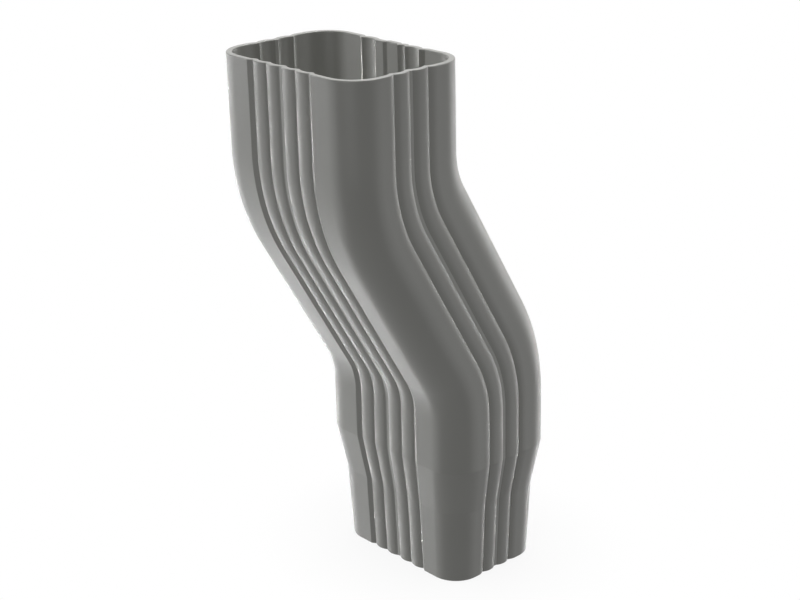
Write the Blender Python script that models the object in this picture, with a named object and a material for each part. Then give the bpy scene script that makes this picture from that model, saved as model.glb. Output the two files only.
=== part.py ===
# Downpipe offset bend: one moulded plastic pipe with a fluted rectangular section.
# A straight socket leads into a bend, a slanted run, an equal bend back, a short straight,
# a swage down to a smaller section and a tapered spigot that enters the pipe below.
# Metres, +Z up, the spigot's end on Z = 0. The wide faces look along -Y and +Y, the pipe steps
# sideways along +Y on its way down, and the origin lies midway between the two pipe axes.

import math

import bmesh
import bpy
from mathutils import Vector

OBJECT_NAME = "offset_bend"

# Section of the pipe body, outside sizes
BODY_WIDTH = 0.0825
BODY_DEPTH = 0.0582
CORNER_RADIUS = 0.0142
WALL = 0.0024

# Flutes: V grooves with rounded ridges between them
GROOVE_DEPTH = 0.0011
WIDE_INNER_RIDGE = 0.00772
WIDE_OUTER_RIDGE = 0.00804
WIDE_MIDDLE_FLAT = 0.0015
WIDE_FLANK = 0.0022
NARROW_RIDGE = 0.00766
NARROW_MIDDLE_FLAT = 0.00146
NARROW_FLANK = 0.0038

# Flat strip that stands in place of the middle groove on the back wide face
STRIP_WIDTH = 0.0060
STRIP_FLANK = 0.0012

# Route of the pipe, measured along its axis from the top down
SOCKET_LENGTH = 0.0361
BEND_ANGLE = math.radians(30.0)
UPPER_BEND_RADIUS = 0.0572
INCLINE_LENGTH = 0.0640
LOWER_BEND_RADIUS = 0.0568
LOWER_LENGTH = 0.0220
SWAGE_LENGTH = 0.0202
SPIGOT_LENGTH = 0.0324

# Spigot, outside sizes below the swage and at its end
SPIGOT_WIDTH = 0.0752
SPIGOT_DEPTH = 0.0520
END_WIDTH = 0.0716
END_DEPTH = 0.0491

# Facets
CORNER_STEPS = 8
RIDGE_STEPS = 4
FLANK_STEPS = 2
BEND_STEPS = 8

# Finish
PLASTIC_COLOUR = (0.200, 0.201, 0.187, 1.0)
PLASTIC_ROUGHNESS = 0.30
SHARP_ANGLE = math.radians(20.0)


def ridge_recess(distance, half_width):
    """Depth below the face of a rounded ridge, at a distance from its crown."""
    radius = (half_width ** 2 + GROOVE_DEPTH ** 2) / (2.0 * GROOVE_DEPTH)
    return radius - math.sqrt(radius ** 2 - distance ** 2)


def ridge(start, end):
    """Points of a rounded ridge between two creases, without the creases."""
    middle = (start + end) / 2.0
    half_width = (end - start) / 2.0
    points = []
    for step in range(1, RIDGE_STEPS):
        across = half_width * (2.0 * step / RIDGE_STEPS - 1.0)
        points.append((middle + across, ridge_recess(across, half_width)))
    return points


def rounded_flank(crease):
    """Points outward from the outermost crease of a narrow face: half a ridge, level at its end."""
    points = []
    for step in range(1, FLANK_STEPS + 1):
        left = NARROW_FLANK * (1.0 - step / FLANK_STEPS)
        points.append((crease + NARROW_FLANK - left, ridge_recess(left, NARROW_FLANK)))
    return points


def mirrored(half):
    """A symmetric face profile from the points on its positive side."""
    return [(-place, recess) for place, recess in reversed(half)] + half


def wide_creases():
    """Places of the three creases on the positive side of a wide face, inside to outside."""
    first = WIDE_MIDDLE_FLAT / 2.0
    second = first + WIDE_INNER_RIDGE
    return first, second, second + WIDE_OUTER_RIDGE


def wide_outer_half():
    """Outer ridge and flat flank of a wide face, from its second crease outwards."""
    _, second, third = wide_creases()
    points = [(second, GROOVE_DEPTH)]
    points += ridge(second, third)
    points += [(third, GROOVE_DEPTH), (third + WIDE_FLANK, 0.0)]
    return points


def front_profile():
    """Five grooves, the middle one with a narrow flat floor."""
    first, second, _ = wide_creases()
    half = [(first, GROOVE_DEPTH)] + ridge(first, second) + wide_outer_half()
    return mirrored(half)


def back_profile():
    """Four grooves beside a flat strip, with a wide floor on one side and a narrow ridge on the other."""
    strip_edge = STRIP_WIDTH / 2.0
    strip_foot = strip_edge + STRIP_FLANK
    _, second, _ = wide_creases()
    left = [(-place, recess) for place, recess in reversed(wide_outer_half())]
    strip = [(-strip_foot, GROOVE_DEPTH), (-strip_edge, 0.0), (strip_edge, 0.0), (strip_foot, GROOVE_DEPTH)]
    return left + strip + ridge(strip_foot, second) + wide_outer_half()


def side_profile():
    """Three grooves, the middle one with a flat floor, the outer ones with rounded flanks."""
    first = NARROW_MIDDLE_FLAT / 2.0
    second = first + NARROW_RIDGE
    half = [(first, GROOVE_DEPTH)] + ridge(first, second) + [(second, GROOVE_DEPTH)]
    return mirrored(half + rounded_flank(second))


def corner_radius():
    """Corner radius, limited by the flat that the flutes leave free on each face."""
    free_width = BODY_WIDTH / 2.0 - max(place for place, _ in front_profile())
    free_depth = BODY_DEPTH / 2.0 - max(place for place, _ in side_profile())
    return min(CORNER_RADIUS, free_width, free_depth)


def section_outline():
    """Points round the body's section: place on the plain rectangle, outward direction, recess."""
    half_width = BODY_WIDTH / 2.0
    half_depth = BODY_DEPTH / 2.0
    radius = corner_radius()
    faces = (
        (-90.0, half_depth, half_width, front_profile()),
        (0.0, half_width, half_depth, side_profile()),
        (90.0, half_depth, half_width, [(-place, recess) for place, recess in reversed(back_profile())]),
        (180.0, half_width, half_depth, side_profile()),
    )
    outline = []
    for turn, distance, half_length, profile in faces:
        angle = math.radians(turn)
        outward = Vector((math.cos(angle), math.sin(angle)))
        along = Vector((-outward.y, outward.x))
        for place, recess in profile:
            outline.append((outward * distance + along * place, outward, recess))
        centre = outward * (distance - radius) + along * (half_length - radius)
        for step in range(CORNER_STEPS + 1):
            corner_angle = angle + math.pi / 2.0 * step / CORNER_STEPS
            direction = Vector((math.cos(corner_angle), math.sin(corner_angle)))
            outline.append((centre + direction * radius, direction, 0.0))
    return outline


def route():
    """Stations down the pipe: sideways place, drop, tilt from plumb, outside width and depth."""
    body = (BODY_WIDTH, BODY_DEPTH)
    side = 0.0
    drop = 0.0
    stations = [(side, drop, 0.0) + body]
    drop += SOCKET_LENGTH
    stations.append((side, drop, 0.0) + body)
    for step in range(1, BEND_STEPS + 1):
        tilt = BEND_ANGLE * step / BEND_STEPS
        across = UPPER_BEND_RADIUS * (1.0 - math.cos(tilt))
        down = UPPER_BEND_RADIUS * math.sin(tilt)
        stations.append((side + across, drop + down, tilt) + body)
    side += UPPER_BEND_RADIUS * (1.0 - math.cos(BEND_ANGLE)) + INCLINE_LENGTH * math.sin(BEND_ANGLE)
    drop += UPPER_BEND_RADIUS * math.sin(BEND_ANGLE) + INCLINE_LENGTH * math.cos(BEND_ANGLE)
    for step in range(BEND_STEPS + 1):
        tilt = BEND_ANGLE * (1.0 - step / BEND_STEPS)
        across = LOWER_BEND_RADIUS * (math.cos(tilt) - math.cos(BEND_ANGLE))
        down = LOWER_BEND_RADIUS * (math.sin(BEND_ANGLE) - math.sin(tilt))
        stations.append((side + across, drop + down, tilt) + body)
    side += LOWER_BEND_RADIUS * (1.0 - math.cos(BEND_ANGLE))
    drop += LOWER_BEND_RADIUS * math.sin(BEND_ANGLE) + LOWER_LENGTH
    stations.append((side, drop, 0.0) + body)
    drop += SWAGE_LENGTH
    stations.append((side, drop, 0.0, SPIGOT_WIDTH, SPIGOT_DEPTH))
    drop += SPIGOT_LENGTH
    stations.append((side, drop, 0.0, END_WIDTH, END_DEPTH))
    return stations


def ring(station, outline, inset):
    """The section's points at one station, set in from the outside by inset."""
    side, drop, tilt, width, depth = station
    points = []
    for place, outward, recess in outline:
        flat = Vector((place.x * width / BODY_WIDTH, place.y * depth / BODY_DEPTH))
        flat -= outward * (recess + inset)
        points.append(Vector((
            flat.x,
            side + flat.y * math.cos(tilt),
            flat.y * math.sin(tilt) - drop,
        )))
    return points


def join_rings(mesh, first, second, flip):
    """Faces between two rings of points."""
    count = len(first)
    for index in range(count):
        after = (index + 1) % count
        corners = [first[index], second[index], second[after], first[after]]
        if flip:
            corners.reverse()
        mesh.faces.new(corners)


def plastic_material():
    """Grey moulded plastic."""
    material = bpy.data.materials.new("grey_plastic")
    material.use_nodes = True
    shader = material.node_tree.nodes["Principled BSDF"]
    shader.inputs["Base Color"].default_value = PLASTIC_COLOUR
    shader.inputs["Roughness"].default_value = PLASTIC_ROUGHNESS
    shader.inputs["Metallic"].default_value = 0.0
    return material


def offset_bend(collection):
    """The whole pipe: an outer and an inner skin lofted down the route, closed at both ends."""
    outline = section_outline()
    stations = route()
    height = stations[-1][1]
    shift = Vector((0.0, -stations[-1][0] / 2.0, height))
    mesh = bmesh.new()
    outer = [[mesh.verts.new(point + shift) for point in ring(place, outline, 0.0)] for place in stations]
    inner = [[mesh.verts.new(point + shift) for point in ring(place, outline, WALL)] for place in stations]
    for index in range(len(stations) - 1):
        join_rings(mesh, outer[index], outer[index + 1], False)
        join_rings(mesh, inner[index], inner[index + 1], True)
    join_rings(mesh, outer[0], inner[0], True)
    join_rings(mesh, outer[-1], inner[-1], False)
    data = bpy.data.meshes.new(OBJECT_NAME)
    mesh.to_mesh(data)
    mesh.free()
    data.shade_smooth()
    data.set_sharp_from_angle(angle=SHARP_ANGLE)
    data.materials.append(plastic_material())
    pipe = bpy.data.objects.new(OBJECT_NAME, data)
    collection.objects.link(pipe)
    return pipe


def main():
    for thing in list(bpy.data.objects):
        bpy.data.objects.remove(thing, do_unlink=True)
    collection = bpy.data.collections.new("downpipe_offset_bend")
    bpy.context.scene.collection.children.link(collection)
    offset_bend(collection)


main()
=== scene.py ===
# Looks of the downpipe offset bend: a fine loft of the fluted pipe in grey satin plastic,
# a pale floor, plain soft studio light and the camera.
# Metres, +Z up, in the frame's own coordinates: the spigot's end on Z = 0, the socket on top.

import math

import bmesh
import bpy
from mathutils import Matrix, Vector


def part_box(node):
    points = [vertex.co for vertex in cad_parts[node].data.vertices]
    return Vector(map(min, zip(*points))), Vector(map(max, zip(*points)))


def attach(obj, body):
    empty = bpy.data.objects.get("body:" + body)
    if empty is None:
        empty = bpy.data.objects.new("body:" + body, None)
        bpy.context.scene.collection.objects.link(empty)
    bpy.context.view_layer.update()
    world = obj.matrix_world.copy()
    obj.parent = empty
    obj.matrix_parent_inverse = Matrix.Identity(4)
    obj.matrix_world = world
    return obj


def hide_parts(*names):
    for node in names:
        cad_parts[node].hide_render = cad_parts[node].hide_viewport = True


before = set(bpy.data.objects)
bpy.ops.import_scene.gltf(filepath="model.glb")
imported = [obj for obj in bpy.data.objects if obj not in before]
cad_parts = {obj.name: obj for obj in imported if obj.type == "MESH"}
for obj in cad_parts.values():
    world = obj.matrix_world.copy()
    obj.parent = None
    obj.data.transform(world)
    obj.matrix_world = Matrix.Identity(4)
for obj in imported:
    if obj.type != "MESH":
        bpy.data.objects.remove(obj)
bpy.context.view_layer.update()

# Sizes and places taken from the frame
PIPE_LOW, PIPE_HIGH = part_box("offset_bend")
BODY_WIDTH = PIPE_HIGH[0] - PIPE_LOW[0]
PIPE_HEIGHT = PIPE_HIGH[2] - PIPE_LOW[2]

# Section of the pipe body
BODY_DEPTH = 0.0582
CORNER_RADIUS = 0.0142
WALL = 0.0024

# Flutes: V grooves with rounded ridges between them
GROOVE_DEPTH = 0.0011
WIDE_INNER_RIDGE = 0.00772
WIDE_OUTER_RIDGE = 0.00804
WIDE_MIDDLE_FLAT = 0.0015
WIDE_FLANK = 0.0022
NARROW_RIDGE = 0.00766
NARROW_MIDDLE_FLAT = 0.00146
NARROW_FLANK = 0.0038

# Flat strip that stands in place of the middle groove on the back wide face
STRIP_WIDTH = 0.0060
STRIP_FLANK = 0.0012

# Route of the pipe, measured along its axis from the top down
SOCKET_LENGTH = 0.0361
BEND_ANGLE = math.radians(30.0)
UPPER_BEND_RADIUS = 0.0572
INCLINE_LENGTH = 0.0640
LOWER_BEND_RADIUS = 0.0568
LOWER_LENGTH = 0.0220
SWAGE_LENGTH = 0.0202
SPIGOT_LENGTH = 0.0324

# Spigot, outside sizes below the swage and at its end
SPIGOT_WIDTH = 0.0752
SPIGOT_DEPTH = 0.0520
END_WIDTH = 0.0716
END_DEPTH = 0.0491

# Softening of the moulded edges
CREASE_RADIUS = 0.00006
CREST_RADIUS = 0.00014
SUPPORT_GAP = 0.00012
RIM_RADIUS = 0.00035
SWAGE_BLEND = 0.0003
SHARPEST_SMOOTH_TURN = math.radians(12.0)

# Fineness of the loft
CORNER_STEPS = 22
RIDGE_STEPS = 14
FLANK_STEPS = 8
SOFT_STEPS = 3
SOCKET_STEPS = 3
BEND_STEPS = 28
INCLINE_STEPS = 6
LOWER_STEPS = 3
BLEND_STEPS = 4
SWAGE_STEPS = 3
SPIGOT_STEPS = 4
RIM_STEPS = 4

# Plastic
PLASTIC_COLOUR = (0.200, 0.201, 0.187)
PLASTIC_ROUGHNESS = 0.30

# Noise values that count as the pattern's ends, and the plastic's patterns
NOISE_LOW = 0.3
NOISE_HIGH = 0.7
CLOUD_SIZE = 0.03
CLOUD_DETAIL = 3.0
CLOUD_DEPTH = 0.02
SMEAR_SIZE = 0.012
SMEAR_DETAIL = 2.0
SMEAR_DEPTH = 0.015
GRAIN_SIZE = 0.0004
GRAIN_DETAIL = 2.0
GRAIN_STRENGTH = 0.15
GRAIN_HEIGHT = 0.00001

# White floor just under the pipe, and the soft shadow painted into its white round the pipe's foot
FLOOR_SIZE = 8.0
FLOOR_GAP = 0.0002
SHADOW_REACH = 0.05
SHADOW_DEPTH = 0.12
SHADOW_SAMPLES = 16

# Level of the white surroundings as light on the surfaces
WORLD_FILL = 0.20

# Soft lamps without shadows, so the grooves stay open: name, azimuth and elevation in degrees, width, watts
LAMP_DISTANCE = 1.5
LAMP_WIDTH = 0.9
PANEL_WIDTH = 1.8
LAMPS = (
    ("front_low", -30.0, -20.0, LAMP_WIDTH, 2.5),
    ("front_right", 30.0, 10.0, LAMP_WIDTH, 3.5),
    ("left_front", -60.0, 10.0, LAMP_WIDTH, 5.5),
    ("left_panel", -85.0, -25.0, PANEL_WIDTH, 11.5),
    ("right_back", 120.0, -20.0, LAMP_WIDTH, 1.5),
    ("back_low", 180.0, -20.0, LAMP_WIDTH, 2.5),
    ("back_top", 180.0, 70.0, LAMP_WIDTH, 33.0),
)

# Camera, at the photograph's place
CAMERA_AZIMUTH = math.radians(48.469)
CAMERA_ELEVATION = math.radians(20.803)
CAMERA_ROLL = math.radians(-1.385)
CAMERA_AIM = (0.03844, -0.03000, 0.13627)
CAMERA_DISTANCE = 0.63878
SENSOR_WIDTH = 36.0
FOCAL_PIXELS = 1702.72
IMAGE_WIDTH = 800.0
CLIP_START = 0.01


def ridge_recess(distance, half_width):
    """Depth below the face of a rounded ridge, at a distance from its crown."""
    radius = (half_width ** 2 + GROOVE_DEPTH ** 2) / (2.0 * GROOVE_DEPTH)
    return radius - math.sqrt(radius ** 2 - distance ** 2)


def ridge(start, end):
    """Points of a rounded ridge between two creases, without the creases."""
    middle = (start + end) / 2.0
    half_width = (end - start) / 2.0
    points = []
    for step in range(1, RIDGE_STEPS):
        across = half_width * (2.0 * step / RIDGE_STEPS - 1.0)
        points.append((middle + across, ridge_recess(across, half_width)))
    return points


def rounded_flank(crease):
    """Points outward from the outermost crease of a narrow face: half a ridge, level at its end."""
    points = []
    for step in range(1, FLANK_STEPS + 1):
        left = NARROW_FLANK * (1.0 - step / FLANK_STEPS)
        points.append((crease + NARROW_FLANK - left, ridge_recess(left, NARROW_FLANK)))
    return points


def mirrored(half):
    """A symmetric face profile from the points on its positive side."""
    return [(-place, recess) for place, recess in reversed(half)] + half


def wide_creases():
    """Places of the three creases on the positive side of a wide face, inside to outside."""
    first = WIDE_MIDDLE_FLAT / 2.0
    second = first + WIDE_INNER_RIDGE
    return first, second, second + WIDE_OUTER_RIDGE


def wide_outer_half():
    """Outer ridge and flat flank of a wide face, from its second crease outwards."""
    _, second, third = wide_creases()
    points = [(second, GROOVE_DEPTH)]
    points += ridge(second, third)
    points += [(third, GROOVE_DEPTH), (third + WIDE_FLANK, 0.0)]
    return points


def front_profile():
    """Five grooves, the middle one with a narrow flat floor."""
    first, second, _ = wide_creases()
    return mirrored([(first, GROOVE_DEPTH)] + ridge(first, second) + wide_outer_half())


def back_profile():
    """Four grooves beside a flat strip, with a wide floor on one side and a narrow ridge on the other."""
    strip_edge = STRIP_WIDTH / 2.0
    strip_foot = strip_edge + STRIP_FLANK
    _, second, _ = wide_creases()
    left = [(-place, recess) for place, recess in reversed(wide_outer_half())]
    strip = [(-strip_foot, GROOVE_DEPTH), (-strip_edge, 0.0), (strip_edge, 0.0), (strip_foot, GROOVE_DEPTH)]
    return left + strip + ridge(strip_foot, second) + wide_outer_half()


def side_profile():
    """Three grooves, the middle one with a flat floor, the outer ones with rounded flanks."""
    first = NARROW_MIDDLE_FLAT / 2.0
    second = first + NARROW_RIDGE
    half = [(first, GROOVE_DEPTH)] + ridge(first, second) + [(second, GROOVE_DEPTH)]
    return mirrored(half + rounded_flank(second))


def softened(profile, half_length):
    """A face profile with its creases and crests rounded, from corner to corner."""
    ends = [(-half_length, 0.0)] + profile + [(half_length, 0.0)]
    points = []
    for before, corner, after in zip(ends, ends[1:], ends[2:]):
        here = Vector(corner)
        back = (Vector(before) - here).normalized()
        ahead = (Vector(after) - here).normalized()
        turn = math.pi - back.angle(ahead)
        if turn < SHARPEST_SMOOTH_TURN:
            points.append(corner)
            continue
        radius = CREASE_RADIUS if corner[1] > GROOVE_DEPTH / 2.0 else CREST_RADIUS
        points += arc(here, back, ahead, turn, radius)
    return points


def arc(corner, back, ahead, turn, radius):
    """Points of the arc that rounds a corner, with one on the flat beyond each end to keep it tight."""
    reach = radius * math.tan(turn / 2.0)
    centre = corner + (back + ahead).normalized() * radius / math.cos(turn / 2.0)
    first = corner + back * reach - centre
    last = corner + ahead * reach - centre
    points = [tuple(corner + back * (reach + SUPPORT_GAP))]
    for step in range(SOFT_STEPS + 1):
        share = step / SOFT_STEPS
        point = centre + first.slerp(last, share) * radius
        points.append((point.x, point.y))
    points.append(tuple(corner + ahead * (reach + SUPPORT_GAP)))
    return points


def section_outline():
    """Points round the body's section: place on the plain rectangle, outward direction, recess."""
    half_width = BODY_WIDTH / 2.0
    half_depth = BODY_DEPTH / 2.0
    back = [(-place, recess) for place, recess in reversed(back_profile())]
    faces = (
        (-90.0, half_depth, half_width, front_profile()),
        (0.0, half_width, half_depth, side_profile()),
        (90.0, half_depth, half_width, back),
        (180.0, half_width, half_depth, side_profile()),
    )
    outline = []
    for turn, distance, half_length, profile in faces:
        angle = math.radians(turn)
        outward = Vector((math.cos(angle), math.sin(angle)))
        along = Vector((-outward.y, outward.x))
        for place, recess in softened(profile, half_length - CORNER_RADIUS):
            outline.append((outward * distance + along * place, outward, recess))
        centre = outward * (distance - CORNER_RADIUS) + along * (half_length - CORNER_RADIUS)
        for step in range(CORNER_STEPS + 1):
            corner_angle = angle + math.pi / 2.0 * step / CORNER_STEPS
            direction = Vector((math.cos(corner_angle), math.sin(corner_angle)))
            outline.append((centre + direction * CORNER_RADIUS, direction, 0.0))
    return outline


def axis_lengths():
    """Lengths of the route's stretches along the axis, from the top down."""
    return (
        SOCKET_LENGTH,
        UPPER_BEND_RADIUS * BEND_ANGLE,
        INCLINE_LENGTH,
        LOWER_BEND_RADIUS * BEND_ANGLE,
        LOWER_LENGTH,
        SWAGE_LENGTH,
        SPIGOT_LENGTH,
    )


def marks():
    """Distances along the axis at which the stretches begin and end."""
    places = [0.0]
    for length in axis_lengths():
        places.append(places[-1] + length)
    return places


def axis_place(distance):
    """Sideways place, drop and tilt of the axis at a distance from the top."""
    _, bend, slant, bend_back, straight = marks()[:5]
    side = 0.0
    drop = min(distance, bend)
    if distance <= bend:
        return side, drop, 0.0
    tilt = min((distance - bend) / UPPER_BEND_RADIUS, BEND_ANGLE)
    side += UPPER_BEND_RADIUS * (1.0 - math.cos(tilt))
    drop += UPPER_BEND_RADIUS * math.sin(tilt)
    if distance <= slant:
        return side, drop, tilt
    run = min(distance, bend_back) - slant
    side += run * math.sin(BEND_ANGLE)
    drop += run * math.cos(BEND_ANGLE)
    if distance <= bend_back:
        return side, drop, tilt
    tilt = BEND_ANGLE - min((distance - bend_back) / LOWER_BEND_RADIUS, BEND_ANGLE)
    side += LOWER_BEND_RADIUS * (math.cos(tilt) - math.cos(BEND_ANGLE))
    drop += LOWER_BEND_RADIUS * (math.sin(BEND_ANGLE) - math.sin(tilt))
    drop += max(distance - straight, 0.0)
    return side, drop, tilt


def kink(distance, place, slope_change):
    """Growth after a change of slope, rounded over a short blend."""
    past = distance - place
    if past <= -SWAGE_BLEND:
        return 0.0
    if past >= SWAGE_BLEND:
        return slope_change * past
    return slope_change * (past + SWAGE_BLEND) ** 2 / (4.0 * SWAGE_BLEND)


def size_at(distance, body, neck, end):
    """Width or depth at a distance from the top, from those of the body, the spigot's top and its end."""
    swage, spigot, _ = marks()[-3:]
    swage_slope = (neck - body) / SWAGE_LENGTH
    spigot_slope = (end - neck) / SPIGOT_LENGTH
    return body + kink(distance, swage, swage_slope) + kink(distance, spigot, spigot_slope - swage_slope)


def across(place, body_fluted, fluted, half_body, half_size):
    """A place across a face of the body carried to a smaller face, its fluted part and plain ends apart."""
    if abs(place) <= body_fluted:
        return place * fluted / body_fluted
    past = (abs(place) - body_fluted) / (half_body - body_fluted)
    return math.copysign(fluted + past * (half_size - fluted), place)


def fluted_halves():
    """Half lengths of the fluted part of a wide face and of a narrow face, on the body."""
    return wide_creases()[-1] + WIDE_FLANK, NARROW_MIDDLE_FLAT / 2.0 + NARROW_RIDGE + NARROW_FLANK


def face_fit(distance, body_fluted, body, neck, end):
    """Half lengths of a face on the body and here. Down the spigot the fluted part keeps its own."""
    fluted = body_fluted * size_at(distance, body, neck, neck) / body
    return body_fluted, fluted, body / 2.0, size_at(distance, body, neck, end) / 2.0


def stretch(start, end, steps):
    """Evenly spaced distances after a start, up to and with the end."""
    return [start + (end - start) * step / steps for step in range(1, steps + 1)]


def skin_distances():
    """Distances along the axis at which a skin has a ring, between its two rims."""
    top, bend, slant, bend_back, straight, swage, spigot, end = marks()
    near_rim = 2.0 * RIM_RADIUS
    distances = [top + near_rim]
    distances += stretch(distances[-1], bend - near_rim, SOCKET_STEPS)
    distances.append(bend)
    distances += stretch(bend, slant, BEND_STEPS)
    distances += stretch(slant, bend_back, INCLINE_STEPS)
    distances += stretch(bend_back, straight, BEND_STEPS)
    distances += stretch(straight, swage - 2.0 * SWAGE_BLEND, LOWER_STEPS)
    distances += stretch(swage - SWAGE_BLEND, swage + SWAGE_BLEND, BLEND_STEPS)
    distances += stretch(swage + 2.0 * SWAGE_BLEND, spigot - 2.0 * SWAGE_BLEND, SWAGE_STEPS)
    distances += stretch(spigot - SWAGE_BLEND, spigot + SWAGE_BLEND, BLEND_STEPS)
    distances += stretch(spigot + 2.0 * SWAGE_BLEND, end - near_rim, SPIGOT_STEPS)
    return distances


def rim_rings(edge, inward):
    """Rings round a rim from its outer edge to its inner one: distance along the axis and inset."""
    rings = []
    for step in range(RIM_STEPS + 1):
        angle = math.pi / 2.0 * step / RIM_STEPS
        back = RIM_RADIUS * (1.0 - math.sin(angle))
        inset = RIM_RADIUS * (1.0 - math.cos(angle))
        rings.append((edge + inward * back, inset))
    middle = [(edge, WALL / 2.0)]
    inner = [(distance, WALL - inset) for distance, inset in reversed(rings)]
    return rings + middle + inner


def all_rings():
    """Every ring of the pipe in order: outside down, bottom rim, inside up, top rim."""
    end = marks()[-1]
    distances = skin_distances()
    rings = [(distance, 0.0) for distance in distances]
    rings += rim_rings(end, -1.0)
    rings += [(distance, WALL) for distance in reversed(distances)]
    rings += list(reversed(rim_rings(0.0, 1.0)))
    return rings


def ring_points(distance, inset, outline):
    """The section's points at one place along the pipe, set in from the outside."""
    side, drop, tilt = axis_place(distance)
    wide_fluted, narrow_fluted = fluted_halves()
    wide = face_fit(distance, wide_fluted, BODY_WIDTH, SPIGOT_WIDTH, END_WIDTH)
    narrow = face_fit(distance, narrow_fluted, BODY_DEPTH, SPIGOT_DEPTH, END_DEPTH)
    upper_axis = PIPE_LOW[1] + BODY_DEPTH / 2.0
    points = []
    for place, outward, recess in outline:
        flat = Vector((across(place.x, *wide), across(place.y, *narrow)))
        flat -= outward * (recess + inset)
        points.append((
            flat.x,
            upper_axis + side + flat.y * math.cos(tilt),
            PIPE_HIGH[2] + flat.y * math.sin(tilt) - drop,
        ))
    return points


def added(name, data):
    """An object with its data, put into the scene."""
    thing = bpy.data.objects.new(name, data)
    bpy.context.scene.collection.objects.link(thing)
    return thing


def fluted_pipe():
    """The whole pipe as one closed loft of rings."""
    outline = section_outline()
    mesh = bmesh.new()
    rings = []
    for distance, inset in all_rings():
        rings.append([mesh.verts.new(point) for point in ring_points(distance, inset, outline)])
    count = len(outline)
    for first, second in zip(rings, rings[1:] + rings[:1]):
        for index in range(count):
            after = (index + 1) % count
            mesh.faces.new((first[index], second[index], second[after], first[after]))
    bmesh.ops.recalc_face_normals(mesh, faces=mesh.faces)
    data = bpy.data.meshes.new("fluted_pipe")
    mesh.to_mesh(data)
    mesh.free()
    data.shade_smooth()
    return added("fluted_pipe", data)


def noise(tree, size, detail):
    """A noise pattern in the pipe's own coordinates, its features about a given size."""
    place = tree.nodes.new("ShaderNodeTexCoord")
    pattern = tree.nodes.new("ShaderNodeTexNoise")
    pattern.inputs["Scale"].default_value = 1.0 / size
    pattern.inputs["Detail"].default_value = detail
    tree.links.new(place.outputs["Object"], pattern.inputs["Vector"])
    return pattern


def spread(tree, pattern, low, high):
    """A number that follows a pattern between two values."""
    span = tree.nodes.new("ShaderNodeMapRange")
    span.inputs["From Min"].default_value = NOISE_LOW
    span.inputs["From Max"].default_value = NOISE_HIGH
    span.inputs["To Min"].default_value = low
    span.inputs["To Max"].default_value = high
    tree.links.new(pattern.outputs["Fac"], span.inputs["Value"])
    return span


def satin_plastic():
    """Grey moulded plastic: faint clouds in colour and gloss, and a very fine grain."""
    material = bpy.data.materials.new("satin_grey_plastic")
    material.use_nodes = True
    tree = material.node_tree
    shader = tree.nodes["Principled BSDF"]
    clouds = noise(tree, CLOUD_SIZE, CLOUD_DETAIL)
    tint = tree.nodes.new("ShaderNodeMix")
    tint.data_type = "RGBA"
    tint.inputs["A"].default_value = (*[value * (1.0 - CLOUD_DEPTH) for value in PLASTIC_COLOUR], 1.0)
    tint.inputs["B"].default_value = (*[value * (1.0 + CLOUD_DEPTH) for value in PLASTIC_COLOUR], 1.0)
    tree.links.new(spread(tree, clouds, 0.0, 1.0).outputs["Result"], tint.inputs["Factor"])
    tree.links.new(tint.outputs["Result"], shader.inputs["Base Color"])
    smears = noise(tree, SMEAR_SIZE, SMEAR_DETAIL)
    gloss = spread(tree, smears, PLASTIC_ROUGHNESS - SMEAR_DEPTH, PLASTIC_ROUGHNESS + SMEAR_DEPTH)
    tree.links.new(gloss.outputs["Result"], shader.inputs["Roughness"])
    grain = noise(tree, GRAIN_SIZE, GRAIN_DETAIL)
    bump = tree.nodes.new("ShaderNodeBump")
    bump.inputs["Strength"].default_value = GRAIN_STRENGTH
    bump.inputs["Distance"].default_value = GRAIN_HEIGHT
    tree.links.new(grain.outputs["Fac"], bump.inputs["Height"])
    tree.links.new(bump.outputs["Normal"], shader.inputs["Normal"])
    return material


def floor():
    """A large white floor with a soft shadow painted round the pipe's foot."""
    half = FLOOR_SIZE / 2.0
    data = bpy.data.meshes.new("studio_floor")
    corners = [(-half, -half, 0.0), (half, -half, 0.0), (half, half, 0.0), (-half, half, 0.0)]
    data.from_pydata(corners, [], [(0, 1, 2, 3)])
    plane = added("studio_floor", data)
    plane.location.z = -FLOOR_GAP
    plane.visible_diffuse = False
    plane.visible_glossy = False
    plane.visible_shadow = False
    data.materials.append(white_floor())


def white_floor():
    """White with painted shade: it darkens a little where the pipe stands close above it."""
    material = bpy.data.materials.new("white_floor")
    material.use_nodes = True
    tree = material.node_tree
    tree.nodes.clear()
    output = tree.nodes.new("ShaderNodeOutputMaterial")
    white = tree.nodes.new("ShaderNodeEmission")
    white.inputs["Color"].default_value = (1.0, 1.0, 1.0, 1.0)
    # Painted shadow: the white's strength drops where the pipe shuts off the floor's open surroundings
    openness = tree.nodes.new("ShaderNodeAmbientOcclusion")
    openness.samples = SHADOW_SAMPLES
    openness.inputs["Distance"].default_value = SHADOW_REACH
    level = tree.nodes.new("ShaderNodeMapRange")
    level.inputs["To Min"].default_value = 1.0 - SHADOW_DEPTH
    level.inputs["To Max"].default_value = 1.0
    tree.links.new(openness.outputs["AO"], level.inputs["Value"])
    tree.links.new(level.outputs["Result"], white.inputs["Strength"])
    tree.links.new(white.outputs["Emission"], output.inputs["Surface"])
    return material


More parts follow.
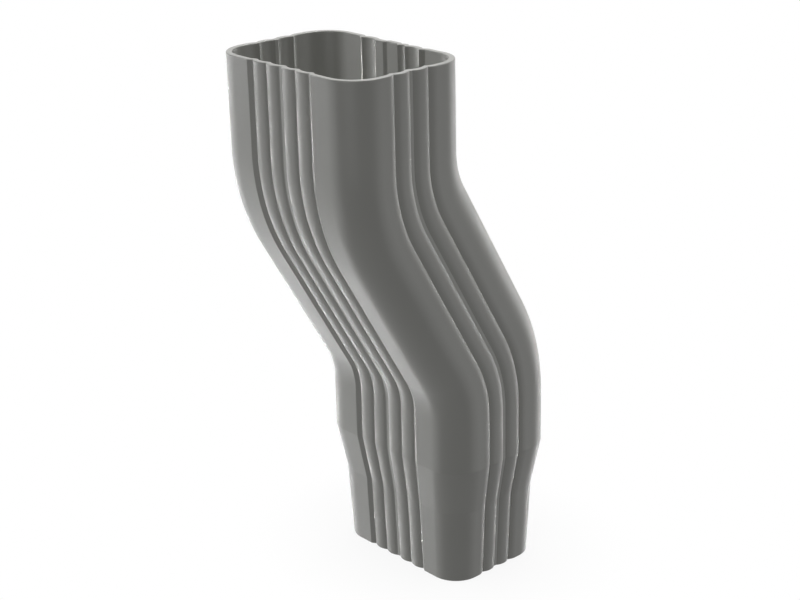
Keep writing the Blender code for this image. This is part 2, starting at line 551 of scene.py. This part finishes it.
def white_world():
    """White behind everything for camera, gloss and glass, softer for the light on surfaces."""
    world = bpy.data.worlds.new("white_studio")
    world.use_nodes = True
    tree = world.node_tree
    background = tree.nodes["Background"]
    background.inputs["Color"].default_value = (1.0, 1.0, 1.0, 1.0)
    path = tree.nodes.new("ShaderNodeLightPath")
    camera_or_gloss = tree.nodes.new("ShaderNodeMath")
    camera_or_gloss.operation = "MAXIMUM"
    tree.links.new(path.outputs["Is Camera Ray"], camera_or_gloss.inputs[0])
    tree.links.new(path.outputs["Is Glossy Ray"], camera_or_gloss.inputs[1])
    seen = tree.nodes.new("ShaderNodeMath")
    seen.operation = "MAXIMUM"
    tree.links.new(camera_or_gloss.outputs[0], seen.inputs[0])
    tree.links.new(path.outputs["Is Transmission Ray"], seen.inputs[1])
    strength = tree.nodes.new("ShaderNodeMapRange")
    strength.inputs["To Min"].default_value = WORLD_FILL
    strength.inputs["To Max"].default_value = 1.0
    tree.links.new(seen.outputs[0], strength.inputs["Value"])
    tree.links.new(strength.outputs["Result"], background.inputs["Strength"])
    bpy.context.scene.world = world


def studio_direction(azimuth, elevation):
    """Direction out from the pipe at two angles. Azimuth 0 is the front, -Y, and it grows towards +X."""
    level = math.cos(elevation)
    return Vector((math.sin(azimuth) * level, -math.cos(azimuth) * level, math.sin(elevation)))


def lamp(name, azimuth, elevation, width, power):
    """A square soft lamp without shadow that faces the pipe from a direction given in degrees."""
    data = bpy.data.lights.new(name, "AREA")
    data.shape = "SQUARE"
    data.size = width
    data.energy = power
    data.use_shadow = False
    data.cycles.use_multiple_importance_sampling = False
    lamp_object = added(name, data)
    direction = studio_direction(math.radians(azimuth), math.radians(elevation))
    aim = Vector((0.0, 0.0, PIPE_HEIGHT / 2.0))
    lamp_object.location = aim + direction * LAMP_DISTANCE
    lamp_object.rotation_euler = direction.to_track_quat("Z", "Y").to_euler()


def lamps():
    """The studio's soft lamps."""
    for name, azimuth, elevation, width, power in LAMPS:
        lamp(name, azimuth, elevation, width, power)


def camera():
    """The camera that sees the pipe as the photograph does."""
    data = bpy.data.cameras.new("photo_camera")
    data.sensor_width = SENSOR_WIDTH
    data.sensor_fit = "HORIZONTAL"
    data.lens = FOCAL_PIXELS * SENSOR_WIDTH / IMAGE_WIDTH
    data.clip_start = CLIP_START
    camera_object = added("photo_camera", data)
    direction = studio_direction(CAMERA_AZIMUTH, CAMERA_ELEVATION)
    camera_object.location = Vector(CAMERA_AIM) + direction * CAMERA_DISTANCE
    upright = direction.to_track_quat("Z", "Y").to_matrix()
    rolled = upright @ Matrix.Rotation(CAMERA_ROLL, 3, "Z")
    camera_object.rotation_euler = rolled.to_euler()
    bpy.context.scene.camera = camera_object


camera()
white_world()
floor()
lamps()

pipe = fluted_pipe()
pipe.data.materials.append(satin_plastic())
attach(pipe, "root")
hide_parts("offset_bend")

bpy.context.scene.view_settings.view_transform = "Standard"
